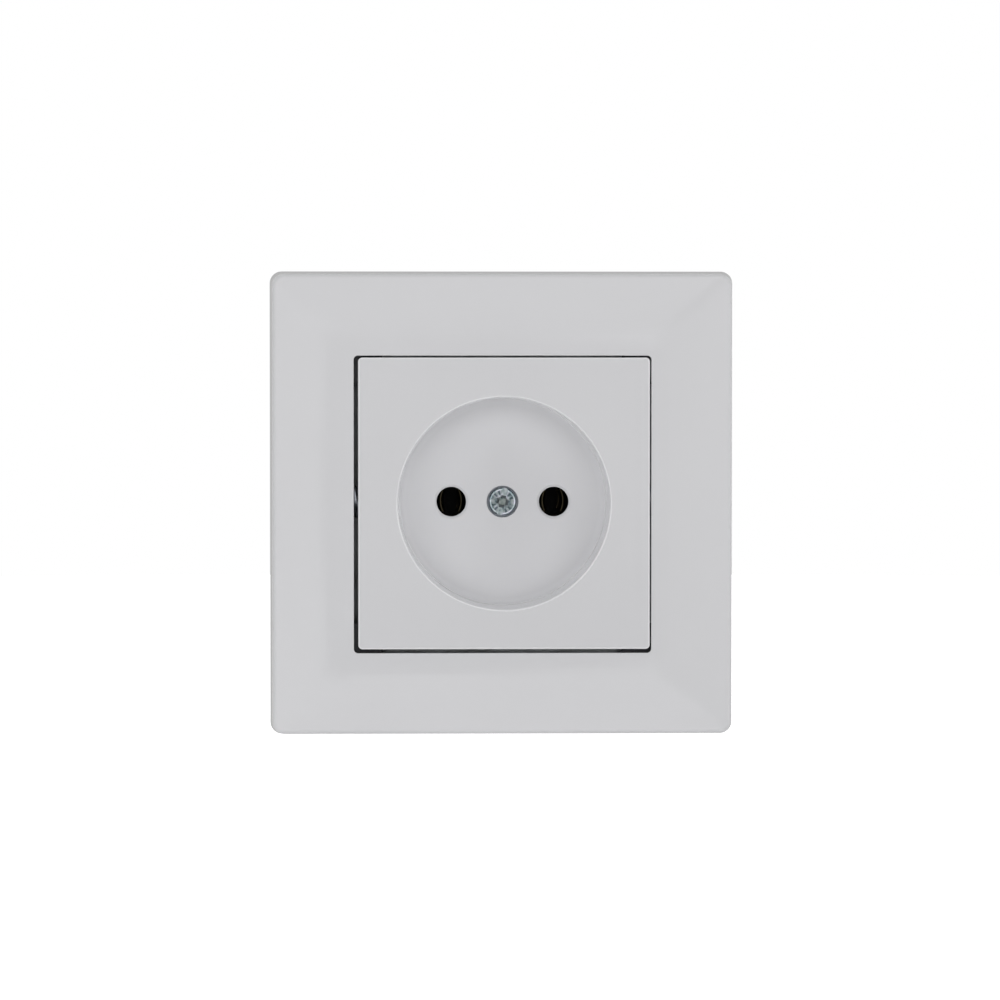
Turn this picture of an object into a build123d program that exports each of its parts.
from build123d import *
import os
from math import cos, radians, sin, sqrt, tan

# A flush two-pin wall socket, built as the separate pieces it comes apart into.
# +X is right, +Z is up, the front faces -Y and the wall plane is y = 0, in millimetres.
# A height is measured out of the wall, so what lies inside the flush box has one below zero.

# Frame
frame_corner_radius = 2.2
frame_edge_height = 8.4
frame_crown_rise = 1.2
frame_side_lean = 0.66
frame_edge_round = 0.9
frame_flat_band = 5.0
frame_flat_corner_radius = 5.0
frame_crown_blend = 9.0
frame_crown_steps = 8
frame_wall = 2.2
frame_skirt_wall = 2.0
frame_rib_thickness = 1.4
frame_rib_offset = 17.0
frame_rib_clearance = 0.4
frame_play_x = -0.27
frame_play_z = -0.18

# Opening of the frame and the ledge that carries the centre plate
opening_corner_radius = 0.8
ledge_width = 3.675
ledge_thickness = 1.6
ledge_clearance = 2.3

# Windows through the ledge, one along each side of the plate
window_depth = 1.5
window_length = 44.0

# Centre plate
plate_proud = 0.2
plate_gap = 0.525
plate_wall = 2.0
plate_rim_wall = 1.6
plate_rim_height = 4.6
plate_corner_radius = 0.8
plate_edge_round = 0.4

# Plug well, moulded in one with the centre plate
well_diameter = 38.9
well_depth = 11.0
well_draft_angle = 1.5
well_wall = 1.8
well_rim_round = 0.4
well_floor_fillet = 0.2
well_outer_fillet = 2.5
floor_thickness = 2.2

# Plug pins and the holes that take them
pin_spacing = 19.0
pin_length = 19.0
pin_hole_diameter = 5.5
pin_hole_lead = 0.4

# Centre screw and its nut
screw_diameter = 3.0
screw_length = 13.5
screw_head_diameter = 5.1
screw_head_height = 1.5
screw_head_round = 0.45
screw_head_sink = 0.1
screw_head_gap = 0.4
screw_hole_gap = 0.2
screw_turn = -13.0
screw_slot_width = 1.0
screw_slot_depth = 0.5
screw_cross_span = 3.0
screw_cross_width = 0.9
screw_cross_depth = 1.3
screw_core_diameter = 1.9
screw_core_taper = 15.0
screw_star_span = 3.8
screw_star_width = 0.3
screw_star_depth = 0.3
screw_boss_wall = 1.6
screw_boss_height = 1.5
nut_width = 5.5
nut_thickness = 2.4
nut_gap = 0.1

# Disc that closes the contact pockets
cover_thickness = 1.6
cover_gap = 0.3
cover_pin_hole_gap = 0.4
stake_diameter = 3.0
stake_offset = 13.0

# Base
flange_thickness = 2.6
flange_corner_radius = 12.0
flange_lip = 5.2
recess_gap = 0.5
cup_wall = 1.6
cup_floor = 1.8
block_wall = 2.2
block_corner_radius = 2.0
block_edge_round = 0.8
rear_wall = 2.6
terminal_headroom = 6.4
window_front_lip = 0.3
wire_slot_height = 2.8
wire_slot_inset = 0.6

# Brass contacts
strip_thickness = 0.8
leaf_curve_radius = 4.0
leaf_sweep = 52.0
leaf_mouth = 3.3
leaf_throat = 2.7
leaf_root = 6.0
leaf_bend_radius = 1.6
leaf_throat_depth = 3.6
leaf_gap = 0.3
mouth_gap = 0.4
pin_tip_gap = 0.4
tip_window_width = 3.4
tip_window_height = 6.4
terminal_offset = 13.4
terminal_shoulder = 0.8
terminal_gap = 0.2
terminal_length = 11.5
terminal_fold_radius = 1.2
collar_wall = 0.9
collar_height = 1.4

# Wire clamping screws and washers
clamp_screw_diameter = 3.5
clamp_screw_tail = 5.0
clamp_head_diameter = 6.2
clamp_head_height = 2.4
clamp_head_chamfer = 0.4
clamp_slot_width = 0.9
clamp_slot_depth = 1.2
clamp_screw_setback = 5.6
clamp_thread_gap = 0.05
washer_width = 8.4
washer_thickness = 1.0
washer_corner = 1.2
washer_hole_gap = 0.1

# Mounting bracket and its rivets
bracket_thickness = 1.0
bracket_edge = 5.9
bracket_margin = 4.65
bracket_corner = 7.0
bracket_opening_gap = 0.8
bracket_notch_width = 9.0
bracket_notch_depth = 2.0
box_screw_spacing = 60.0
box_screw_hole_diameter = 4.2
rivet_diameter = 3.0
rivet_bore = 1.8
rivet_head_diameter = 5.0
rivet_head_height = 0.8
rivet_tail_diameter = 4.0
rivet_tail_height = 0.7
rivet_setback = 4.6
rivet_block_gap = 0.2
rivet_hole_gap = 0.05

# Spreading claws, one on each side
claw_screw_diameter = 3.0
claw_screw_gap = 0.05
claw_screw_head_diameter = 5.6
claw_screw_head_height = 1.9
claw_screw_tail = 1.6
claw_screw_offset = 3.6
claw_ramp_angle = 30.0
claw_travel = 5.0
claw_sheet = 1.2
claw_leg_inner = 3.6
claw_leg_length = 8.0
claw_reach = 2.2
claw_tooth_depth = 1.6
claw_slide_gap = 0.05
claw_nut_thickness = 2.2
claw_nut_overhang = 2.6
claw_nut_gap = 0.15
claw_rail_height = 3.0
claw_rail_wall = 1.5
claw_ramp_lead = 2.1
claw_clear = 0.5
claw_setback = 4.4

# Heights of the stack, from the front towards the back of the flush box
frame_crown_height = frame_edge_height + frame_crown_rise
plate_front = frame_crown_height + plate_proud
ledge_front = plate_front - plate_rim_height
ledge_back = ledge_front - ledge_thickness
floor_front = plate_front - well_depth
floor_back = floor_front - floor_thickness
screw_seat = floor_front - screw_head_sink - screw_head_height
boss_back = floor_back - screw_boss_height
cover_front = boss_back - cover_gap
cover_back = cover_front - cover_thickness
cup_back = cover_back - cup_floor
pin_tip = floor_front - pin_length
bridge_front = pin_tip - pin_tip_gap
bridge_back = bridge_front - strip_thickness
bridge_middle = (bridge_front + bridge_back) / 2
base_back = bridge_back - rear_wall
window_front = cup_back - window_front_lip

# Widths that follow from the sizes above
well_radius = well_diameter / 2
well_floor_radius = well_radius - well_depth * tan(radians(well_draft_angle))
tube_radius = well_radius + well_wall
tube_floor_radius = well_floor_radius + well_wall
ledge_opening = 2 * (tube_radius + ledge_clearance)
opening_width = ledge_opening + 2 * ledge_width
bracket_width = box_screw_spacing + 2 * bracket_edge
frame_width = bracket_width + 2 * (frame_wall + bracket_margin)
frame_front_width = frame_width - 2 * frame_side_lean
frame_flat_width = opening_width + 2 * frame_flat_band
crown_inner = (frame_flat_width - frame_crown_blend) / 2
crown_slope = 2 * frame_crown_rise / (frame_front_width - frame_flat_width)
skirt_width = opening_width + 2 * frame_skirt_wall
plate_width = opening_width - 2 * plate_gap
pin_offset = pin_spacing / 2
recess_radius = tube_radius + recess_gap
cup_radius = recess_radius + cup_wall
bracket_opening_radius = tube_radius + bracket_opening_gap
pocket_half = leaf_root / 2 + strip_thickness + leaf_gap
chamber_half = pocket_half + terminal_shoulder
terminal_face = terminal_offset + strip_thickness
terminal_half = chamber_half - terminal_gap
terminal_front = bridge_back + terminal_length
clamp_screw_height = bridge_back + clamp_screw_setback + strip_thickness
block_width = 2 * (pin_offset + chamber_half + block_wall)
block_height = 2 * (terminal_face + terminal_headroom)
wire_slot_centre = terminal_face + wire_slot_height / 2
rivet_x = block_width / 2 + rivet_tail_diameter / 2 + rivet_block_gap
rivet_z = sqrt((bracket_opening_radius + rivet_setback) ** 2 - rivet_x**2)
claw_screw_x = cup_radius + claw_screw_offset
claw_ramp_front = cup_back + claw_ramp_lead
claw_foot_back = base_back + claw_setback
claw_foot_front = claw_foot_back + claw_sheet
claw_leg_outer = claw_leg_inner + claw_sheet
claw_groove_half = claw_leg_outer + claw_nut_gap - claw_rail_wall
claw_ramp_slope = tan(radians(claw_ramp_angle))
claw_rail_x = block_width / 2 + claw_rail_height
claw_spread = claw_travel * claw_ramp_slope

sides = {"left": -1, "right": 1}
levels = {"top": 1, "bottom": -1}

# A section through the middle of the socket: sketch x runs right, sketch y out of the wall
section = Plane(origin=(0, 0, 0), x_dir=(1, 0, 0), z_dir=(0, 0, -1))


def at(height):
    """A plane parallel to the wall: sketch x runs right, sketch y up, extrusions grow outwards."""
    return Plane.XZ.offset(height)


def framed(height):
    """The same, shifted by the play with which the frame hangs on the plate."""
    return Plane(origin=(frame_play_x, -height, frame_play_z), x_dir=(1, 0, 0), z_dir=(0, -1, 0))


def crown_section(half):
    """Width, height and corner radius of the frame's front at a distance from its middle."""
    past = half - crown_inner
    eased = min(past, frame_crown_blend)
    drop = crown_slope * (eased**2 / (2 * frame_crown_blend) + past - eased)
    share = past / (frame_front_width / 2 - crown_inner)
    radius = frame_flat_corner_radius + share * (frame_corner_radius - frame_flat_corner_radius)
    return 2 * half, frame_crown_height - drop, radius


def ramp_x(height):
    """How far out the claw ramp stands at a height: it starts at the cup and falls towards the back."""
    return cup_radius + claw_clear + (height - cup_back) * claw_ramp_slope


def save(piece, name):
    """Label a finished piece and write it to its own file."""
    piece.part.label = name
    export_step(piece.part, f"parts/{name}.step")


os.makedirs("parts", exist_ok=True)

# Frame: leaning sides, a shallow slope that eases into a flat band, hollow behind
with BuildPart() as frame:
    with BuildSketch(framed(0)):
        RectangleRounded(frame_width, frame_width, frame_corner_radius)
    with BuildSketch(framed(frame_edge_height)):
        RectangleRounded(frame_front_width, frame_front_width, frame_corner_radius)
    loft(ruled=True)
    steps = range(frame_crown_steps, -1, -1)
    eased_halves = [crown_inner + frame_crown_blend * step / frame_crown_steps for step in steps]
    for half in (frame_front_width / 2, *eased_halves):
        width, height, radius = crown_section(half)
        with BuildSketch(framed(height)):
            RectangleRounded(width, width, radius)
    loft(ruled=True)
    edge_loop = frame.edges().filter_by_position(
        Axis.Y, -frame_edge_height, -frame_edge_height, inclusive=(True, True)
    )
    fillet(edge_loop, frame_edge_round)
    # the hollow back follows the outside at one wall thickness
    for width, height, radius in (
        (frame_width - 2 * frame_wall, 0, frame_corner_radius),
        (frame_front_width - 2 * frame_wall, frame_edge_height - frame_wall, frame_corner_radius),
        (frame_flat_width, frame_crown_height - frame_wall, frame_flat_corner_radius),
    ):
        with BuildSketch(framed(height)):
            RectangleRounded(width, width, radius)
    loft(ruled=True, mode=Mode.SUBTRACT)
    # ribs from the outer wall to the skirt that stands on the bracket
    rib_start = bracket_thickness + frame_rib_clearance
    with BuildSketch(framed(rib_start)):
        for offset_along in (-frame_rib_offset, frame_rib_offset):
            with Locations((0, offset_along)):
                Rectangle(frame_front_width - frame_wall, frame_rib_thickness)
            with Locations((offset_along, 0)):
                Rectangle(frame_rib_thickness, frame_front_width - frame_wall)
    extrude(amount=frame_edge_height - frame_wall - rib_start + frame_wall / 4)
    with BuildSketch(framed(bracket_thickness)):
        RectangleRounded(skirt_width, skirt_width, opening_corner_radius + frame_skirt_wall)
    extrude(amount=frame_crown_height - frame_wall / 2 - bracket_thickness)
    # the opening, the space under the ledge, and the hole and windows through the ledge
    with BuildSketch(framed(ledge_front)):
        RectangleRounded(opening_width, opening_width, opening_corner_radius)
    extrude(amount=frame_crown_height - ledge_front, mode=Mode.SUBTRACT)
    with BuildSketch(framed(bracket_thickness)):
        RectangleRounded(opening_width, opening_width, opening_corner_radius)
    extrude(amount=ledge_back - bracket_thickness, mode=Mode.SUBTRACT)
    window_reach = (opening_width - window_depth) / 2
    with BuildSketch(framed(ledge_back)):
        RectangleRounded(ledge_opening, ledge_opening, ledge_clearance)
        with Locations((-window_reach, 0), (window_reach, 0)):
            Rectangle(window_depth, window_length)
        with Locations((0, -window_reach), (0, window_reach)):
            Rectangle(window_length, window_depth)
    extrude(amount=ledge_thickness, mode=Mode.SUBTRACT)
    # room in the skirt for the heads of the claw screws
    with BuildSketch(at(bracket_thickness)):
        Rectangle(
            2 * (claw_screw_x + claw_screw_head_diameter), claw_screw_head_diameter + 2 * claw_clear
        )
    extrude(amount=claw_screw_head_height + claw_clear, mode=Mode.SUBTRACT)
save(frame, "frame")

# Centre plate: a shallow tray turned over the ledge, with the plug well let into it
with BuildPart() as centre_plate:
    with BuildSketch(at(ledge_front)):
        RectangleRounded(plate_width, plate_width, plate_corner_radius)
    extrude(amount=plate_rim_height)
    with BuildSketch(at(ledge_front)):
        Rectangle(plate_width - 2 * plate_rim_wall, plate_width - 2 * plate_rim_wall)
    extrude(amount=plate_rim_height - plate_wall, mode=Mode.SUBTRACT)
    with BuildSketch(section):
        with BuildLine():
            Polyline(
                (0, floor_back),
                (tube_floor_radius, floor_back),
                (tube_radius, plate_front - plate_wall / 2),
                (0, plate_front - plate_wall / 2),
                close=True,
            )
        make_face()
        outer_corner = vertices().sort_by_distance((tube_floor_radius, floor_back))[0]
        fillet(outer_corner, well_outer_fillet)
    revolve(axis=Axis.Y)
    with BuildSketch(section):
        with BuildLine():
            Polyline(
                (0, floor_front),
                (well_floor_radius, floor_front),
                (well_radius, plate_front),
                (0, plate_front),
                close=True,
            )
        make_face()
        floor_corner = vertices().sort_by_distance((well_floor_radius, floor_front))[0]
        fillet(floor_corner, well_floor_fillet)
    revolve(axis=Axis.Y, mode=Mode.SUBTRACT)
    front_face = centre_plate.faces().sort_by(Axis.Y)[0]
    rim_edges = front_face.inner_wires()[0].edges()
    fillet(front_face.outer_wire().edges(), plate_edge_round)
    fillet(rim_edges, well_rim_round)
    # screw boss behind the floor, then the counterbore and the pin holes
    with BuildSketch(at(boss_back)):
        Circle(screw_head_diameter / 2 + screw_head_gap + screw_boss_wall)
    extrude(amount=screw_boss_height)
    with BuildSketch(at(screw_seat)):
        Circle(screw_head_diameter / 2 + screw_head_gap)
    extrude(amount=floor_front - screw_seat, mode=Mode.SUBTRACT)
    with BuildSketch(at(boss_back)):
        Circle(screw_diameter / 2 + screw_hole_gap)
    extrude(amount=screw_seat - boss_back, mode=Mode.SUBTRACT)
    with BuildSketch(at(floor_back)):
        with Locations((-pin_offset, 0), (pin_offset, 0)):
            Circle(pin_hole_diameter / 2)
    extrude(amount=floor_thickness, mode=Mode.SUBTRACT)
    pin_mouths = (
        centre_plate.edges()
        .filter_by_position(Axis.Y, -floor_front, -floor_front)
        .filter_by(lambda e: e.geom_type == GeomType.CIRCLE and abs(e.center().X) > screw_head_diameter)
    )
    chamfer(pin_mouths, pin_hole_lead)
save(centre_plate, "centre_plate")

# Centre screw: a slot across the head, a round tapered core with sloping wings, and a shallow star
with BuildPart() as fixing_screw:
    with BuildSketch(at(screw_seat)):
        Circle(screw_head_diameter / 2)
    extrude(amount=screw_head_height)
    fillet(fixing_screw.edges().group_by(Axis.Y)[0], screw_head_round)
    with BuildSketch(at(screw_seat - screw_length)):
        Circle(screw_diameter / 2)
    extrude(amount=screw_length)
    chamfer(fixing_screw.edges().group_by(Axis.Y)[-1], screw_diameter / 8)
    head_top = screw_seat + screw_head_height
    with BuildSketch(at(head_top)):
        Rectangle(screw_slot_width, screw_head_diameter, rotation=screw_turn)
    extrude(amount=-screw_slot_depth, mode=Mode.SUBTRACT)
    with BuildSketch(at(head_top)):
        Circle(screw_core_diameter / 2)
    extrude(amount=-screw_cross_depth, taper=screw_core_taper, mode=Mode.SUBTRACT)
    core_floor = head_top - screw_cross_depth
    core_floor_half = screw_core_diameter / 2 - screw_cross_depth * tan(radians(screw_core_taper))
    for turn in (radians(screw_turn), radians(screw_turn + 90)):
        wing = Plane(origin=(0, 0, 0), x_dir=(cos(turn), 0, sin(turn)), z_dir=(sin(turn), 0, -cos(turn)))
        with BuildSketch(wing):
            with BuildLine():
                Polyline(
                    (-screw_cross_span / 2, head_top),
                    (screw_cross_span / 2, head_top),
                    (core_floor_half, core_floor),
                    (-core_floor_half, core_floor),
                    close=True,
                )
            make_face()
        extrude(amount=screw_cross_width / 2, both=True, mode=Mode.SUBTRACT)
    with BuildSketch(at(head_top)):
        Rectangle(screw_star_width, screw_star_span, rotation=screw_turn + 45)
        Rectangle(screw_star_span, screw_star_width, rotation=screw_turn + 45)
    extrude(amount=-screw_star_depth, mode=Mode.SUBTRACT)
save(fixing_screw, "fixing_screw")

# Square nut, trapped in the base under the cover
with BuildPart() as fixing_nut:
    with BuildSketch(at(cover_back - nut_gap)):
        Rectangle(nut_width, nut_width)
        Circle(screw_diameter / 2 + clamp_thread_gap, mode=Mode.SUBTRACT)
    extrude(amount=-nut_thickness)
    chamfer(fixing_nut.faces().sort_by(Axis.Y)[0].outer_wire().edges(), nut_gap)
save(fixing_nut, "fixing_nut")

# Disc over the contact pockets, held by two posts of the base
with BuildPart() as contact_cover:
    with BuildSketch(at(cover_back)):
        Circle(recess_radius - recess_gap / 2)
        Circle(screw_diameter / 2 + screw_hole_gap, mode=Mode.SUBTRACT)
        with Locations((-pin_offset, 0), (pin_offset, 0)):
            Circle(pin_hole_diameter / 2 + cover_pin_hole_gap, mode=Mode.SUBTRACT)
        with Locations((0, -stake_offset), (0, stake_offset)):
            Circle(stake_diameter / 2 + cover_gap / 2, mode=Mode.SUBTRACT)
    extrude(amount=cover_thickness)
save(contact_cover, "contact_cover")

# Base: flange, round cup and rear block, with the contact pockets sunk from the front
with BuildPart() as base:
    with BuildSketch(at(-flange_thickness)):
        RectangleRounded(2 * (rivet_x + flange_lip), 2 * (rivet_z + flange_lip), flange_corner_radius)
    extrude(amount=flange_thickness)
    with BuildSketch(at(base_back)):
        RectangleRounded(block_width, block_height, block_corner_radius)
    extrude(amount=-base_back)
    fillet(base.faces().sort_by(Axis.Y)[-1].edges(), block_edge_round)
    with BuildSketch(at(cup_back)):
        Circle(cup_radius)
    extrude(amount=-cup_back)
    # ramps that drive the claws outwards, with a rail that keeps the tapped plates from turning
    rail_end = cup_back + (claw_rail_x - cup_radius - claw_clear) / claw_ramp_slope
    for sign in sides.values():
        with BuildSketch(section):
            with BuildLine():
                Polyline(
                    (sign * pin_offset, base_back + block_edge_round),
                    (sign * claw_rail_x, base_back + block_edge_round),
                    (sign * claw_rail_x, rail_end),
                    (sign * ramp_x(claw_ramp_front), claw_ramp_front),
                    (sign * pin_offset, claw_ramp_front),
                    close=True,
                )
            make_face()
        extrude(amount=claw_leg_outer + claw_nut_gap, both=True)
        with BuildSketch(section):
            with BuildLine():
                Polyline(
                    (sign * block_width / 2, base_back),
                    (sign * (claw_rail_x + claw_rail_height), base_back),
                    (sign * (ramp_x(claw_ramp_front) + claw_rail_height), cup_back),
                    (sign * cup_radius, cup_back),
                    (sign * block_width / 2, cup_back),
                    close=True,
                )
            make_face()
        extrude(amount=claw_groove_half, both=True, mode=Mode.SUBTRACT)
    # the cup's inside, then the pockets, terminal windows and wire entries
    with BuildSketch(at(cover_back)):
        Circle(recess_radius)
    extrude(amount=-cover_back, mode=Mode.SUBTRACT)
    with BuildSketch(at(bridge_back)):
        with Locations((-pin_offset, 0), (pin_offset, 0)):
            Rectangle(2 * pocket_half, 2 * terminal_offset)
            for sign in levels.values():
                with Locations((0, sign * (terminal_offset + strip_thickness / 2))):
                    Rectangle(2 * chamber_half, strip_thickness + 2 * terminal_gap)
    extrude(amount=cover_back - bridge_back, mode=Mode.SUBTRACT)
    with BuildSketch(at(bridge_back)):
        for sign in levels.values():
            with Locations((-pin_offset, sign * block_height / 2), (pin_offset, sign * block_height / 2)):
                Rectangle(2 * chamber_half, block_height - 2 * terminal_offset)
    extrude(amount=window_front - bridge_back, mode=Mode.SUBTRACT)
    with BuildSketch(at(base_back)):
        with GridLocations(pin_spacing, 2 * wire_slot_centre, 2, 2):
            SlotOverall(2 * (chamber_half - wire_slot_inset), wire_slot_height)
    extrude(amount=rear_wall, mode=Mode.SUBTRACT)
    # seat of the nut, room for the screw's end, posts for the cover and holes for the rivets
    with BuildSketch(at(cover_back)):
        Rectangle(nut_width + 2 * nut_gap, nut_width + 2 * nut_gap)
    extrude(amount=-nut_thickness - nut_gap, mode=Mode.SUBTRACT)
    with BuildSketch(at(cover_back)):
        Circle(screw_diameter / 2 + screw_hole_gap)
    extrude(amount=screw_seat - screw_length - screw_diameter - cover_back, mode=Mode.SUBTRACT)
    with BuildSketch(at(cover_back)):
        with Locations((0, -stake_offset), (0, stake_offset)):
            Circle(stake_diameter / 2)
    extrude(amount=cover_thickness)
    with BuildSketch(at(0)):
        with GridLocations(2 * rivet_x, 2 * rivet_z, 2, 2):
            Circle(rivet_diameter / 2 + rivet_hole_gap)
    extrude(amount=-flange_thickness, mode=Mode.SUBTRACT)
save(base, "base")

# Contacts: a strip with two leaves curved round the pin, and a terminal plate at the top and bottom
leaf_line = (leaf_root + strip_thickness) / 2
mouth_line = (leaf_mouth + strip_thickness) / 2
throat_line = (leaf_throat + strip_thickness) / 2
mouth_height = cover_back - mouth_gap
throat_height = mouth_height - leaf_throat_depth
curve_offset = leaf_curve_radius - leaf_throat / 2
swing = radians(leaf_sweep / 2)
for side, sign in sides.items():
    with BuildPart() as contact:
        for hand in (-1, 1):
            # each leaf turns about an axis on the far side of the pin
            curve_axis = (sign * pin_offset - hand * curve_offset, 0, 0)
            leaf_plane = Plane(
                origin=curve_axis,
                x_dir=(hand * cos(swing), 0, -hand * sin(swing)),
                z_dir=(-hand * sin(swing), 0, -hand * cos(swing)),
            )
            with BuildSketch(leaf_plane):
                with BuildLine():
                    FilletPolyline(
                        (curve_offset + mouth_line, mouth_height),
                        (curve_offset + throat_line, throat_height),
                        (curve_offset + leaf_line, bridge_middle),
                        (curve_offset, bridge_middle),
                        radius=leaf_bend_radius,
                    )
                trace(line_width=strip_thickness)
            revolve(axis=Axis(curve_axis, (0, -1, 0)), revolution_arc=leaf_sweep)
        # the lips are rounded where a pin first meets them
        lip_edges = contact.edges().filter_by(GeomType.CIRCLE).sort_by(Axis.Y)[:4]
        fillet(lip_edges, 0.45 * strip_thickness)
        upright = Plane(origin=(sign * pin_offset, 0, 0), x_dir=(0, 0, 1), z_dir=(1, 0, 0))
        terminal_line = terminal_offset + strip_thickness / 2
        with BuildSketch(upright):
            with BuildLine():
                FilletPolyline(
                    (terminal_line, terminal_front),
                    (terminal_line, bridge_middle),
                    (-terminal_line, bridge_middle),
                    (-terminal_line, terminal_front),
                    radius=terminal_fold_radius,
                )
            trace(line_width=strip_thickness)
        extrude(amount=leaf_line - leaf_bend_radius / 2, both=True)
        # a window behind the pin's end
        with BuildSketch(at(bridge_back)):
            with Locations((sign * pin_offset, 0)):
                SlotOverall(tip_window_height, tip_window_width, rotation=90)
        extrude(amount=strip_thickness, mode=Mode.SUBTRACT)
        for level in levels.values():
            terminal = Plane(
                origin=(sign * pin_offset, -clamp_screw_height, level * terminal_offset),
                x_dir=(1, 0, 0),
                z_dir=(0, 0, level),
            )
            with BuildSketch(terminal):
                Rectangle(2 * terminal_half, 2 * (terminal_front - clamp_screw_height))
            extrude(amount=strip_thickness)
            with BuildSketch(terminal):
                Circle(clamp_screw_diameter / 2 + collar_wall)
            extrude(amount=-collar_height)
            with BuildSketch(terminal.offset(-collar_height)):
                Circle(clamp_screw_diameter / 2 + clamp_thread_gap)
            extrude(amount=collar_height + strip_thickness, mode=Mode.SUBTRACT)
    save(contact, f"contact_{side}")

# Terminals: a square washer under a slotted screw, one pair at each end of each contact
for side, sign in sides.items():
    for level, up in levels.items():
        seat = Plane(
            origin=(sign * pin_offset, -clamp_screw_height, up * terminal_face),
            x_dir=(1, 0, 0),
            z_dir=(0, 0, up),
        )
        with BuildPart() as clamp_washer:
            with BuildSketch(seat):
                Rectangle(washer_width, washer_width)
                chamfer(vertices(), washer_corner)
                Circle(clamp_screw_diameter / 2 + washer_hole_gap, mode=Mode.SUBTRACT)
            extrude(amount=washer_thickness)
        save(clamp_washer, f"clamp_washer_{side}_{level}")

        with BuildPart() as terminal_screw:
            with BuildSketch(seat.offset(washer_thickness)):
                Circle(clamp_head_diameter / 2)
            extrude(amount=clamp_head_height)
            head_edge = terminal_screw.edges().sort_by(Axis.Z)[-1 if up > 0 else 0]
            chamfer(head_edge, clamp_head_chamfer)
            with BuildSketch(seat.offset(-clamp_screw_tail)):
                Circle(clamp_screw_diameter / 2)
            extrude(amount=clamp_screw_tail + washer_thickness)
            with BuildSketch(seat.offset(washer_thickness + clamp_head_height)):
                Rectangle(clamp_head_diameter, clamp_slot_width)
            extrude(amount=-clamp_slot_depth, mode=Mode.SUBTRACT)
        save(terminal_screw, f"terminal_screw_{side}_{level}")

# Bracket: a stamped plate with the box-screw holes, clipped corners and a notch on each side
with BuildPart() as bracket:
    with BuildSketch(at(0)):
        Rectangle(bracket_width, bracket_width)
        chamfer(vertices(), bracket_corner)
        Circle(bracket_opening_radius, mode=Mode.SUBTRACT)
        with Locations((0, box_screw_spacing / 2), (0, -box_screw_spacing / 2)):
            Circle(box_screw_hole_diameter / 2, mode=Mode.SUBTRACT)
        with Locations((claw_screw_x, 0), (-claw_screw_x, 0)):
            Circle(claw_screw_diameter / 2 + claw_screw_gap, mode=Mode.SUBTRACT)
        with GridLocations(2 * rivet_x, 2 * rivet_z, 2, 2):
            Circle(rivet_diameter / 2 + rivet_hole_gap, mode=Mode.SUBTRACT)
        with Locations((bracket_width / 2, 0), (-bracket_width / 2, 0)):
            Rectangle(2 * bracket_notch_depth, bracket_notch_width, mode=Mode.SUBTRACT)
    extrude(amount=bracket_thickness)
save(bracket, "bracket")

# Hollow rivets that hold the base to the bracket
with BuildPart() as bracket_rivets:
    with BuildSketch(at(bracket_thickness)):
        with GridLocations(2 * rivet_x, 2 * rivet_z, 2, 2):
            Circle(rivet_head_diameter / 2)
    extrude(amount=rivet_head_height)
    fillet(bracket_rivets.edges().group_by(Axis.Y)[0], rivet_head_height / 2)
    with BuildSketch(at(-flange_thickness)):
        with GridLocations(2 * rivet_x, 2 * rivet_z, 2, 2):
            Circle(rivet_diameter / 2)
    extrude(amount=flange_thickness + bracket_thickness)
    with BuildSketch(at(-flange_thickness)):
        with GridLocations(2 * rivet_x, 2 * rivet_z, 2, 2):
            Circle(rivet_tail_diameter / 2)
    extrude(amount=-rivet_tail_height)
    with BuildSketch(at(-flange_thickness - rivet_tail_height)):
        with GridLocations(2 * rivet_x, 2 * rivet_z, 2, 2):
            Circle(rivet_bore / 2)
    extrude(amount=flange_thickness + rivet_tail_height, mode=Mode.SUBTRACT)
save(bracket_rivets, "bracket_rivets")

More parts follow.
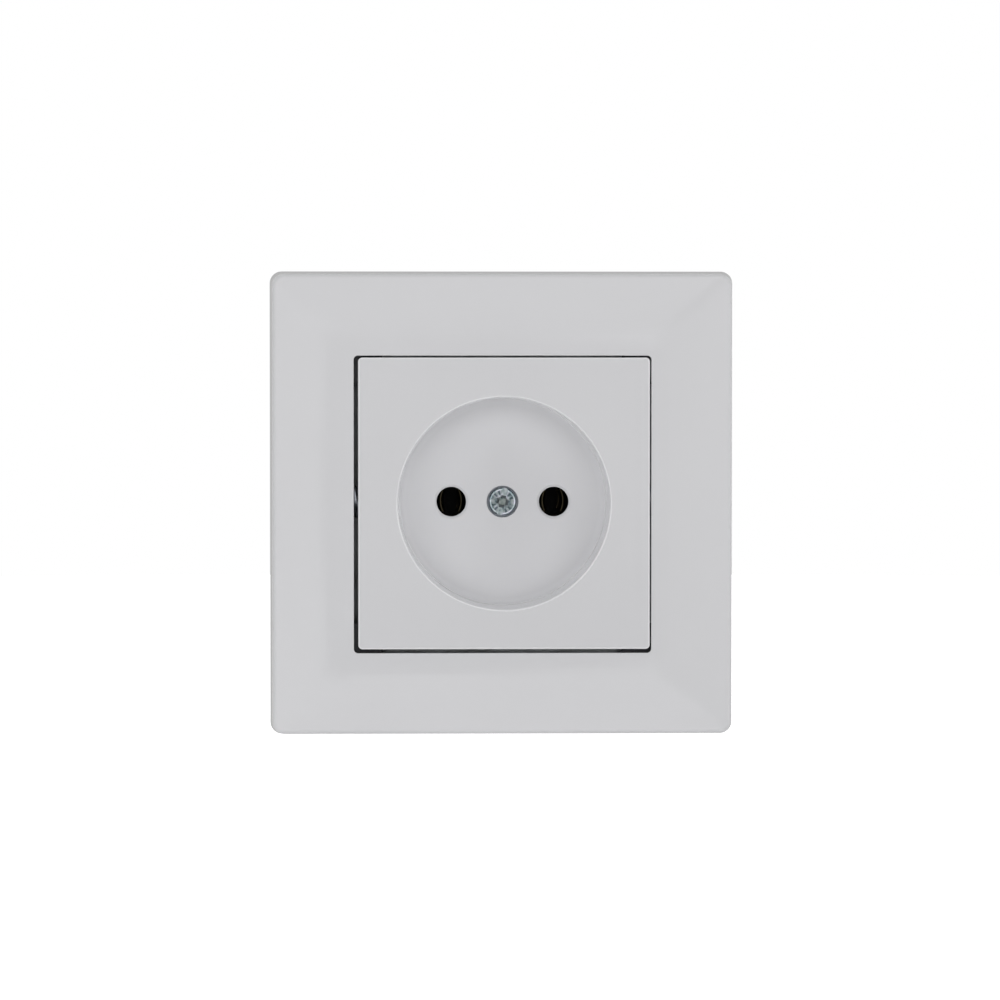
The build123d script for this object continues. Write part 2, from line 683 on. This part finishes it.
# Claws: on each side a screw, a tapped plate that runs along it and a toothed claw on the ramp
nut_front = claw_foot_back - claw_slide_gap
nut_back = nut_front - claw_nut_thickness
leg_front = claw_foot_front + claw_leg_length
claw_outer_x = claw_screw_x + claw_reach
claw_inner_x = claw_rail_x + claw_clear
ramp_gap = claw_slide_gap / cos(radians(claw_ramp_angle))
for side, sign in sides.items():
    with BuildPart() as claw:
        # two toothed legs, cut to the slope of the ramp
        with BuildSketch(section):
            with BuildLine():
                Polyline(
                    (sign * claw_inner_x, claw_foot_back),
                    (sign * claw_outer_x, claw_foot_back),
                    (sign * claw_outer_x, claw_foot_front),
                    (sign * (claw_outer_x - claw_tooth_depth), claw_foot_front + claw_leg_length / 3),
                    (sign * claw_outer_x, claw_foot_front + claw_leg_length / 3),
                    (sign * (claw_outer_x - claw_tooth_depth), leg_front),
                    (sign * (ramp_x(leg_front) + ramp_gap), leg_front),
                    (sign * claw_inner_x, rail_end + (claw_clear - ramp_gap) / claw_ramp_slope),
                    close=True,
                )
            make_face()
        extrude(amount=claw_leg_outer, both=True)
        with BuildSketch(at(claw_foot_front)):
            with Locations((sign * claw_screw_x, 0)):
                Rectangle(2 * claw_screw_x, 2 * claw_leg_inner)
        extrude(amount=claw_leg_length, mode=Mode.SUBTRACT)
        # the foot's slot lets the claw move out past the screw
        slot_width = claw_screw_diameter + 2 * claw_clear
        with BuildSketch(at(claw_foot_back)):
            with Locations((sign * (claw_screw_x - claw_spread / 2), 0)):
                SlotOverall(slot_width + claw_spread, slot_width)
        extrude(amount=claw_sheet, mode=Mode.SUBTRACT)
    save(claw, f"claw_{side}")

    with BuildPart() as claw_nut:
        nut_inner_x = block_width / 2 + claw_clear
        nut_outer_x = claw_screw_x + claw_nut_overhang
        with BuildSketch(at(nut_front)):
            with Locations((sign * (nut_inner_x + nut_outer_x) / 2, 0)):
                Rectangle(nut_outer_x - nut_inner_x, 2 * (claw_groove_half - claw_nut_gap))
            with Locations((sign * claw_screw_x, 0)):
                Circle(claw_screw_diameter / 2 + claw_screw_gap, mode=Mode.SUBTRACT)
        extrude(amount=-claw_nut_thickness)
    save(claw_nut, f"claw_nut_{side}")

    with BuildPart() as claw_screw:
        with BuildSketch(at(bracket_thickness)):
            with Locations((sign * claw_screw_x, 0)):
                Circle(claw_screw_head_diameter / 2)
        extrude(amount=claw_screw_head_height)
        chamfer(claw_screw.edges().group_by(Axis.Y)[0], clamp_head_chamfer)
        with BuildSketch(at(nut_back - claw_screw_tail)):
            with Locations((sign * claw_screw_x, 0)):
                Circle(claw_screw_diameter / 2)
        extrude(amount=bracket_thickness - nut_back + claw_screw_tail)
        with BuildSketch(at(bracket_thickness + claw_screw_head_height)):
            with Locations((sign * claw_screw_x, 0)):
                Rectangle(clamp_slot_width, claw_screw_head_diameter)
        extrude(amount=-claw_screw_head_height / 2, mode=Mode.SUBTRACT)
    save(claw_screw, f"claw_screw_{side}")
